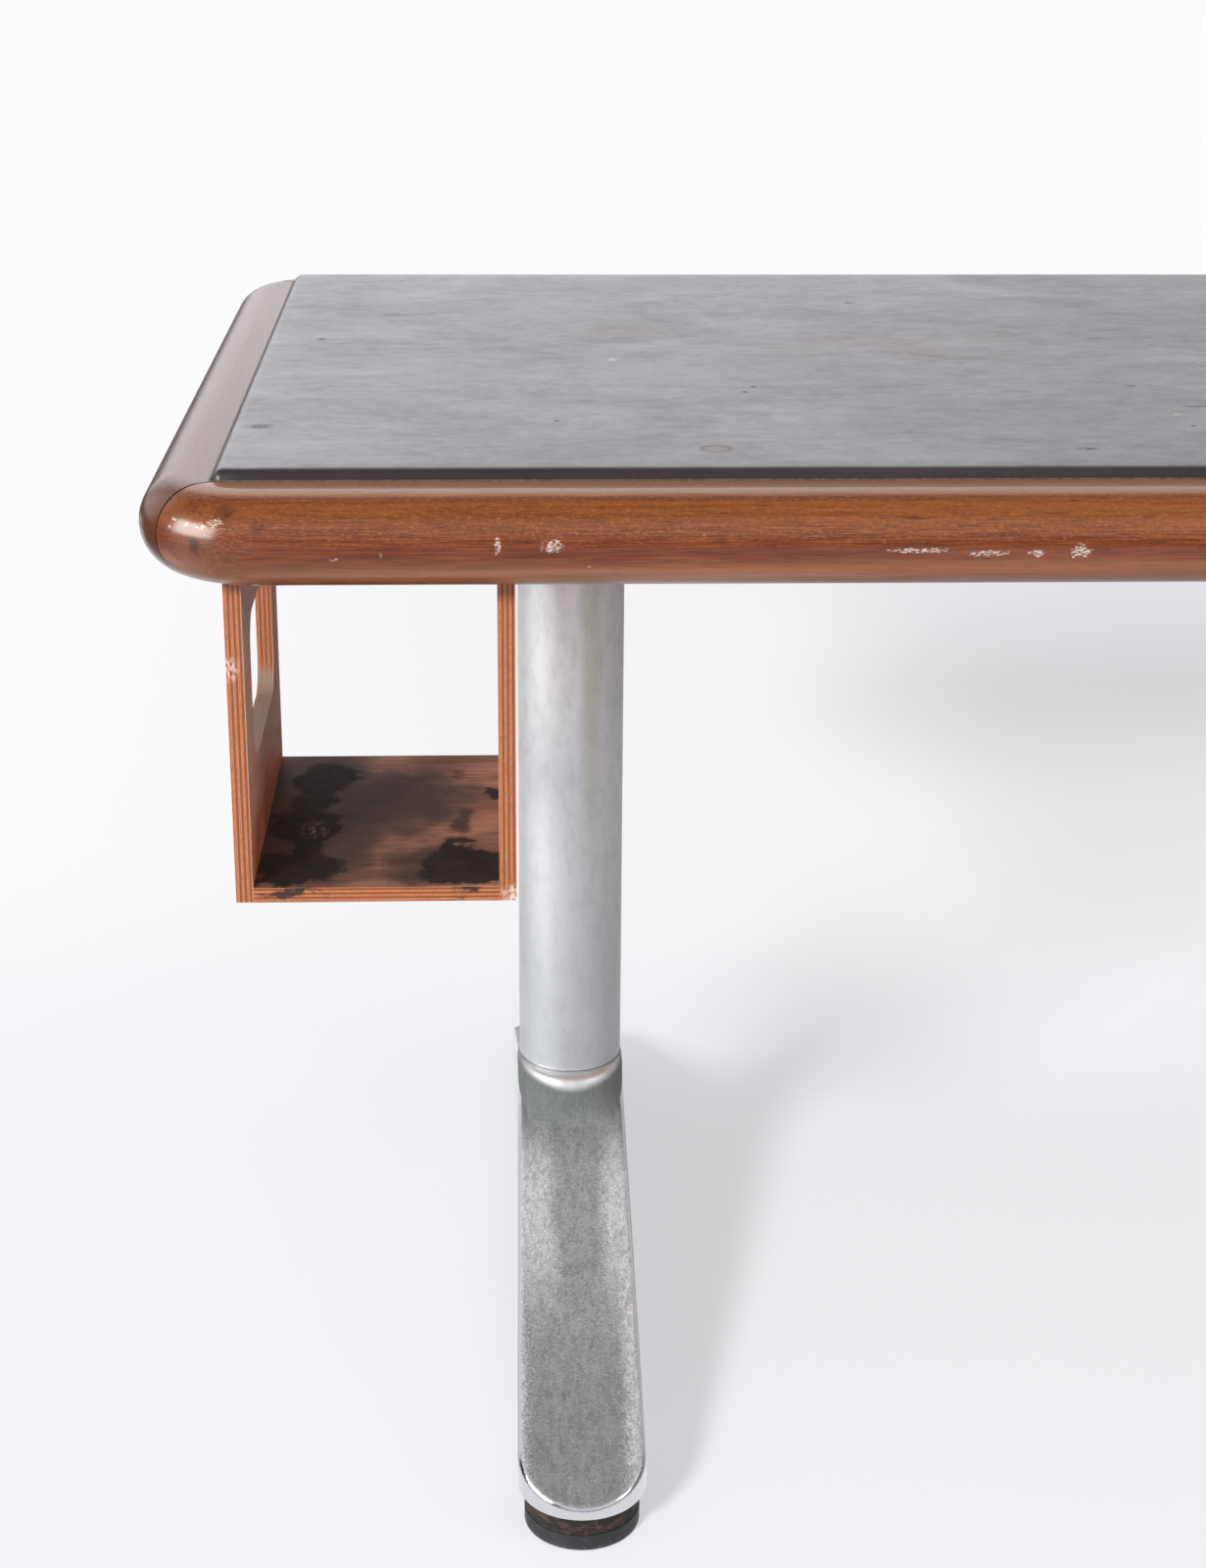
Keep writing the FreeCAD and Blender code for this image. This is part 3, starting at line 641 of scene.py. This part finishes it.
def cast_foot(name, centre_x):
    """Cast foot: polished edges and neck, an upper face dulled and pitted to a grey bloom, with painted
    highlights and painted reflections on it.
    """
    material, where = new_finish(name)
    slope, rise = arm_plane()
    along = abs(axis(where, "Y"))
    offset = axis(where, "X") - centre_x
    sideways = abs(offset)
    height = axis(where, "Z")
    depth = (rise - slope * along) - height
    grit = noise(stretched(where, 760, 760, 760), 4.0, 0.7)
    fleck = noise(stretched(where, 340, 340, 340), 3.0, 0.6)
    patch = noise(stretched(where, 26, 12, 12), 4.0, 0.6)
    flat = fade(depth + (patch - 0.5) * 0.0008, 0.0011, 0.0003)
    neck = height + (patch - 0.5) * 0.006 - sideways * sideways * 6.0
    flat = flat * fade(neck, column_low.z - 0.007, column_low.z - 0.016)
    scour = noise(stretched(where, 190, 60, 60), 4.0, 0.65)
    upper = fade(along, 0.26, 0.15)
    ragged = (patch - 0.5) * 0.016 + (grit - 0.5) * 0.022
    # Painted highlights: pale strips on the bloom along its edges and either side of its middle
    wider_right = fade(offset, -0.01, 0.01) * painted_sheen_edge_right
    edge = fade(sideways + ragged + wider_right, painted_sheen_edge_start, painted_sheen_edge_full)
    strip = upper * fade(abs(offset - painted_sheen_strip_middle) + ragged, painted_sheen_strip_start, painted_sheen_strip_full)
    sheen_patchiness = fade(noise(stretched(where, 320, 120, 120), 5.0, 0.7), 0.36, 0.60)
    below_neck = fade(height, column_low.z - 0.030, column_low.z - 0.064)
    painted_sheen = larger(edge, strip) * (0.4 + 0.6 * sheen_patchiness) * below_neck
    bloom = mixed(fade(grit * 0.7 + scour * 0.3, 0.36, 0.64), srgb(123, 127, 128), srgb(182, 185, 185))
    bloom = mixed(fade(fleck, 0.52, 0.74) * 0.5, bloom, srgb(204, 206, 206))
    bloom = mixed(fade(along, 0.20, 0.34) * 0.35, bloom, srgb(112, 113, 110))
    # Painted reflection of the dark surroundings: the bloom is darker and greener towards the neck
    bloom = mixed(fade(height, column_low.z - 0.060, column_low.z - 0.022) * 0.75, bloom, srgb(98, 104, 100))
    bloom = mixed(painted_sheen * (0.4 + 0.5 * fade(grit, 0.34, 0.62)), bloom, srgb(236, 238, 243))
    # Painted sheen: the polished metal is whiter towards the neck
    neck_sheen = fade(height, column_low.z - 0.050, column_low.z - 0.020)
    bright = mixed(neck_sheen, srgb(220, 221, 223), srgb(248, 249, 250))
    colour = mixed(flat, bright, bloom)
    metal = 1.0 - flat * 0.6
    polish = 0.12 + 0.34 * fade(height, column_low.z - 0.070, column_low.z - 0.025)
    rough = polish + 0.06 * grit + flat * (0.30 + 0.12 * grit)
    return close_finish(
        material, {"Base Color": colour, "Metallic": metal, "Roughness": rough},
        flat * (grit * 0.6 + fleck * 0.4), depth=0.00014, strength=0.5,
    )


def glide_rubber(name):
    """Black rubber, dusty and scuffed pale along the floor."""
    material, where = new_finish(name)
    dust = noise(stretched(where, 90, 90, 90), 5.0, 0.65)
    grit = noise(stretched(where, 800, 800, 800), 2.0)
    low_band = fade(axis(where, "Z"), 0.006, 0.001)
    colour = mixed(fade(dust, 0.45, 0.72), srgb(34, 33, 36), srgb(52, 51, 54))
    colour = mixed(low_band * fade(grit, 0.50, 0.66) * 0.6, colour, srgb(112, 110, 108))
    return close_finish(
        material, {"Base Color": colour, "Roughness": 0.5 + 0.2 * dust},
        grit + dust, depth=0.0002, strength=0.4,
    )


def rusty_cup(name):
    """Pressed steel under a dark crust of rust."""
    material, where = new_finish(name)
    crust = noise(stretched(where, 120, 120, 220), 6.0, 0.7)
    grit = noise(stretched(where, 700, 700, 700), 3.0)
    colour = mixed(fade(crust, 0.44, 0.62), srgb(30, 26, 25), srgb(76, 56, 48))
    colour = mixed(fade(crust, 0.60, 0.72) * 0.7, colour, srgb(126, 98, 84))
    colour = mixed(fade(grit, 0.50, 0.72) * 0.6, colour, srgb(22, 19, 18))
    return close_finish(
        material, {"Base Color": colour, "Roughness": 0.7 + 0.2 * grit},
        crust + grit * 0.5, depth=0.0006, strength=0.7,
    )


def plated_screw(name):
    """Zinc plating gone slightly hazy, on screws, rods and stems."""
    material, where = new_finish(name)
    haze = noise(stretched(where, 260, 260, 260), 4.0, 0.6)
    colour = mixed(fade(haze, 0.35, 0.7), srgb(150, 148, 140), srgb(186, 184, 176))
    return close_finish(
        material, {"Base Color": colour, "Metallic": 1.0, "Roughness": 0.32 + 0.2 * haze},
        haze, depth=0.0001, strength=0.3,
    )


def black_plate(name):
    """Black lacquered steel of the top plates."""
    material, where = new_finish(name)
    haze = noise(stretched(where, 60, 60, 60), 5.0, 0.6)
    grain = noise(stretched(where, 900, 900, 900), 2.0)
    colour = mixed(fade(haze, 0.4, 0.7), srgb(38, 38, 40), srgb(56, 55, 56))
    return close_finish(
        material, {"Base Color": colour, "Roughness": 0.42 + 0.2 * haze},
        grain, depth=0.00012, strength=0.35,
    )


def pressed_felt(name):
    """Grey felt under the leather."""
    material, where = new_finish(name)
    fuzz = noise(stretched(where, 600, 600, 600), 4.0, 0.7)
    colour = mixed(fade(fuzz, 0.35, 0.7), srgb(84, 84, 80), srgb(120, 118, 112))
    return close_finish(
        material, {"Base Color": colour, "Roughness": 0.9 + 0.05 * fuzz}, fuzz, depth=0.0005, strength=0.6)


def dress(node, material):
    """Give a CAD node its finish."""
    slots = nodes[node].data.materials
    slots.clear()
    slots.append(material)


def deselect_all():
    bpy.ops.object.select_all(action="DESELECT")


def start_piece(name):
    """Name the primitive just added and open it for shaping."""
    piece = bpy.context.object
    piece.name = name
    piece.data.name = name
    bpy.ops.object.transform_apply(location=True, rotation=True, scale=True)
    bpy.ops.object.mode_set(mode="EDIT")
    bpy.ops.mesh.select_mode(type="EDGE")
    bpy.ops.mesh.select_all(action="DESELECT")
    return piece


def select_edges(piece, wanted):
    """Select the edges whose two ends satisfy the test."""
    bpy.ops.mesh.select_all(action="DESELECT")
    bpy.ops.object.mode_set(mode="OBJECT")
    points = [vertex.co for vertex in piece.data.vertices]
    for edge in piece.data.edges:
        edge.select = wanted(points[edge.vertices[0]], points[edge.vertices[1]])
    bpy.ops.object.mode_set(mode="EDIT")


def cut_grid(piece, low, high, cell):
    """Cut the piece into even cells in plan."""
    for way, normal in enumerate(((1, 0, 0), (0, 1, 0))):
        count = int((high[way] - low[way]) / cell)
        step = (high[way] - low[way]) / count
        for index in range(1, count):
            point = [0.0, 0.0, 0.0]
            point[way] = low[way] + index * step
            bpy.ops.mesh.select_all(action="SELECT")
            bpy.ops.mesh.bisect(plane_co=point, plane_no=normal)


def make_leather_top():
    """Leather drawn over the writing board: rolled edges, small round corners, a faintly uneven face."""
    deselect_all()
    size = leather_high - leather_low
    bpy.ops.mesh.primitive_cube_add(size=1, location=(leather_low + leather_high) / 2, scale=size)
    piece = start_piece("leather_top")
    select_edges(piece, lambda a, b: abs(a.z - b.z) > size.z / 2)
    bpy.ops.mesh.bevel(offset=leather_corner_radius, segments=leather_corner_segments, affect="EDGES")
    top = leather_high.z - 0.0001
    select_edges(piece, lambda a, b: a.z > top and b.z > top)
    bpy.ops.mesh.bevel(offset=leather_edge_radius, segments=leather_edge_segments, affect="EDGES")
    cut_grid(piece, leather_low, leather_high, leather_cell)
    bpy.ops.object.mode_set(mode="OBJECT")
    uneven = bpy.data.textures.new("leather_unevenness", "CLOUDS")
    uneven.noise_scale = leather_wave_size
    swell = piece.modifiers.new("unevenness", "DISPLACE")
    swell.texture = uneven
    swell.texture_coords = "LOCAL"
    swell.direction = "Z"
    swell.mid_level = 0.5
    swell.strength = leather_wave
    bpy.ops.object.modifier_apply(modifier=swell.name)
    bpy.ops.object.shade_smooth_by_angle(angle=leather_smooth_angle)
    piece.data.materials.append(worn_leather("worn_dark_leather"))
    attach(piece, "desk")
    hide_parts("leather_cover")


make_leather_top()

dress("front_rail", hardwood("hardwood_front_rail", turn=0.0, shade=0.0, gap=0.35, worn_front=True))
# The shade darkens a rail partly as darker wood and partly as painted shade, most on the rails across the
# desk
dress("rear_rail", hardwood("hardwood_rear_rail", turn=0.0, shade=0.05, gap=0.35))
short_rail = hardwood("hardwood_across_the_desk", turn=math.pi / 2, shade=0.45, gap=0.8)
dress("left_rail", short_rail)
dress("right_rail", short_rail)
board = raw_board("raw_board")
for node in ("mitre_splines", "core_board", "writing_board", "box_left_cleat", "box_right_cleat"):
    dress(node, board)
dress("felt_underlay", pressed_felt("pressed_felt"))
low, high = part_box("box_left_panel")
chalk = (low.x + left_chalk_in, low.y, high.z - left_chalk_down)
left_panel = panel_wood("box_left_panel_wood", "box_left_panel", high.x, chalk, left_chalk_reach)
dress("box_left_panel", left_panel)
low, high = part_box("box_right_panel")
chalk = (high.x - right_chalk_in, low.y, low.z + right_chalk_up)
right_panel = panel_wood("box_right_panel_wood", "box_right_panel", low.x, chalk, right_chalk_reach)
dress("box_right_panel", right_panel)
dress("box_bottom_board", box_floor_wood("box_floor_wood", "box_bottom_board"))
screws = plated_screw("plated_screw")
for node in ("board_screws", "box_bottom_screws", "box_cleat_screws", "box_hanging_screws"):
    dress(node, screws)
tube = satin_tube("satin_tube")
plate = black_plate("black_plate")
rubber = glide_rubber("glide_rubber")
rust = rusty_cup("rusty_cup")
for end in ("left", "right"):
    low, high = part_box(end + "_column")
    dress(end + "_top_plate", plate)
    dress(end + "_column", tube)
    dress(end + "_foot", cast_foot(end + "_cast_foot", (low.x + high.x) / 2))
    for piece in ("plate_screws", "tie_rod", "tie_washer", "tie_nut"):
        dress(end + "_" + piece, screws)
    for row in ("front", "rear"):
        dress(row + "_" + end + "_glide_pad", rubber)
        dress(row + "_" + end + "_glide_cup", rust)
        dress(row + "_" + end + "_glide_stem", screws)


def ray_kinds(root):
    """Masks of what the camera sees directly, and of what gloss or glass shows."""
    camera = root.node("LightPath", output="Is Camera Ray")
    glossy = larger(root.node("LightPath", output="Is Glossy Ray"),
                    root.node("LightPath", output="Is Transmission Ray"))
    return camera, glossy


def plan_distance(across, along):
    return across.math("SQRT", across * across + along * along)


def floor_sheen(across, along):
    """How white the floor looks in gloss only: painted reflections in paler and darker cards round the desk.
    """
    near = 0.32 * fade(along, -0.4, -1.0) * fade(along, -2.4, -1.5)
    beside = 0.24 * fade(across, -0.5, -0.2) * fade(across, 0.5, 0.1)
    left = 0.66 * fade(across, -0.90, -1.75) * fade(across, -2.9, -2.2) * fade(along, 0.6, 0.0)
    front_left = 0.50 * fade(across, -1.5, -2.0) * fade(along, -0.35, -0.70)
    far_left = 0.25 * fade(across, -1.6, -2.2) * fade(along, -0.50, -0.10)
    right = 0.08 * fade(across, 0.1, 0.5) + 0.15 * fade(across, 0.4, 0.9)
    cards = 0.33 + near + beside + left + front_left - far_left - right
    behind_box = 0.95 * fade(along, 0.4, 1.2) * fade(across, -1.6, -1.0) * fade(across, 0.3, -0.3)
    aslant = abs(across - column_x + 0.66 * (along + 0.2))
    behind_foot = 0.90 * fade(aslant, 0.45, 0.25) * fade(along, -0.30, 0.00) * fade(along, 4.0, 3.0)
    round_toes = fade(plan_distance(abs(across) + column_x, abs(along) + rail_low.y), 0.45, 0.20)
    return strongest([cards, behind_box, behind_foot, round_toes])


def floor_white(across, along):
    """How much of the floor's own white the camera sees; the rest is lit paper, with its shadows. Raised
    behind the desk on the left, out to the left and just behind it on the right, the white is painted light;
    lowered far behind on the right, it is painted shadow.
    """
    # Painted light that lifts the shadows, and painted shadow far behind on the right
    behind = fade(along, 0.20, 0.80) * fade(across, 0.05, -0.45)
    bright = larger(behind, 0.5 * fade(across, -0.66, -0.95))
    painted_far_shadow = fade(along, 1.3, 1.8) * fade(across, -0.3, 0.3)
    lifted_floor_light = fade(along, 0.15, 0.45) * fade(along, 1.45, 1.00) * fade(across, -0.40, -0.15)
    inside = 0.53 + 0.27 * bright + 0.18 * lifted_floor_light - 0.12 * painted_far_shadow
    past_end = larger(abs(across - stand_x) - stand_half_x, 0.0)
    past_side = larger(abs(along - stand_y) - stand_half_y, 0.0)
    return inside + (1.0 - inside) * fade(plan_distance(past_end, past_side), 0.0, stand_fade)


def make_floor():
    """Wide pale floor that keeps the shadows near the desk and turns white far from it."""
    deselect_all()
    bpy.ops.mesh.primitive_plane_add(size=floor_size)
    floor = bpy.context.object
    floor.name = "studio_floor"
    material, where = new_finish("studio_paper")
    across = axis(where, "X")
    along = axis(where, "Y")
    camera, glossy = ray_kinds(where)
    white = camera * floor_white(across, along) + glossy
    pale = mixed(fade(along, 0.1, 1.0), near_white, far_white)
    shade = mixed(glossy * (1.0 - floor_sheen(across, along)), pale, black)
    paper = where.node("BsdfDiffuse", None, {"Color": paper_colour})
    # The glow is painted light: the floor's own white for the camera and its painted reflections in gloss
    glow = where.node("Emission", None, {"Color": shade, "Strength": 1.0})
    join_surface(where, where.node("MixShader", None, {0: white, 1: paper, 2: glow}))
    floor.data.materials.append(material)


def make_world():
    """White surroundings for the eye and for gloss, and an even soft fill for everything else."""
    world = bpy.data.worlds.new("studio")
    bpy.context.scene.world = world
    world.use_nodes = True
    world.node_tree.nodes.clear()
    root = Socket(world.node_tree)
    direction = root.node("TexCoord", output="Generated")
    x = axis(direction, "X")
    y = axis(direction, "Y")
    z = axis(direction, "Z")
    back = fade(y, 0.05, 0.80) * (0.98 - 0.40 * fade(x, -0.15, 0.40))
    front = 0.58 * fade(y, -0.30, -0.70) * fade(z, 0.0, 0.3)
    roof = fade(z, 0.55, 0.95)
    left = fade(x, -0.25, -0.70)
    gloss = (0.22 + back + front) * (1.0 - 0.55 * roof) * (1.0 - 0.95 * left)
    back_left = fade(x, -0.48, -0.60) * fade(x, -0.92, -0.82) * fade(y, 0.30, 0.45) * fade(z, 0.75, 0.50)
    gloss = larger(gloss, 0.9 * back_left)
    camera, glossy = ray_kinds(root)
    strength = fill_strength + glossy * (gloss - fill_strength)
    strength = strength + camera * (1.0 - strength)
    sky = root.node("Background", None, {"Color": sky_colour, "Strength": strength})
    target = world.node_tree.nodes.new("ShaderNodeOutputWorld")
    world.node_tree.links.new(sky.output, target.inputs["Surface"])


def make_softbox(name, place, aim, size, watts, in_diffuse, in_gloss):
    """Lamp at a place, turned to its aim; it may be left out of matt or of glossy surfaces."""
    light = bpy.data.lights.new(name, "AREA")
    light.shape = "RECTANGLE"
    light.size, light.size_y = size
    light.energy = watts
    lamp = bpy.data.objects.new(name, light)
    lamp.location = place
    lamp.rotation_euler = (Vector(aim) - Vector(place)).to_track_quat("-Z", "Y").to_euler()
    lamp.visible_diffuse = in_diffuse
    lamp.visible_glossy = in_gloss
    bpy.context.scene.collection.objects.link(lamp)


def make_camera():
    """Camera at the photograph's place, turned by yaw, pitch and roll."""
    ahead = Vector((
        math.sin(camera_yaw) * math.cos(camera_pitch),
        math.cos(camera_yaw) * math.cos(camera_pitch),
        -math.sin(camera_pitch),
    ))
    right = Vector((math.cos(camera_yaw), -math.sin(camera_yaw), 0.0))
    down = ahead.cross(right)
    rolled_right = math.cos(camera_roll) * right + math.sin(camera_roll) * down
    rolled_down = -math.sin(camera_roll) * right + math.cos(camera_roll) * down
    turn = Matrix((rolled_right, -rolled_down, -ahead)).transposed()
    view = bpy.data.cameras.new("photo_camera")
    view.lens = camera_lens_mm
    view.sensor_width = camera_sensor_mm
    view.sensor_fit = "AUTO"
    eye = bpy.data.objects.new("photo_camera", view)
    eye.matrix_world = Matrix.Translation(camera_place) @ turn.to_4x4()
    bpy.context.scene.collection.objects.link(eye)
    bpy.context.scene.camera = eye


make_floor()
make_world()
for lamp in softboxes:
    make_softbox(*lamp)
make_camera()
bpy.context.scene.view_settings.view_transform = "Standard"
